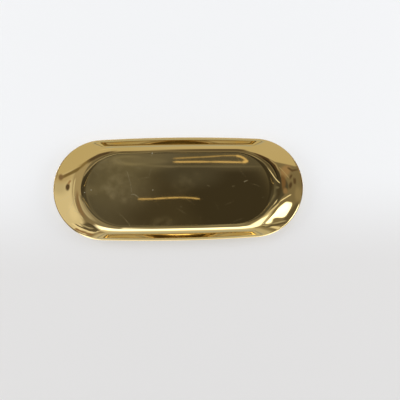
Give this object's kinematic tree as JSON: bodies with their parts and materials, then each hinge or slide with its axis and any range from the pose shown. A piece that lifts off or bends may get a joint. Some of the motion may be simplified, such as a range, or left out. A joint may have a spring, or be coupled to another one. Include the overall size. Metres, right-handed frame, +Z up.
{
  "type": "candle tray",
  "caption": "Oblong oval tray pressed from polished gold coloured sheet, with a flat floor, a wall that flares wide at the round ends, and a levelled lip.",
  "frame": {"origin": "middle of the underside of the floor, where the tray rests on the table", "axes": "+X along the tray's length, +Y across its width, +Z up out of its open top"},
  "size_m": [0.23, 0.095, 0.01],
  "materials": {
    "gold_steel": "mirror polished stainless steel with a thin gold coloured coat, lightly scratched from use"
  },
  "bodies": {
    "root": {"tray": "gold_steel"}
  },
  "joints": []
}
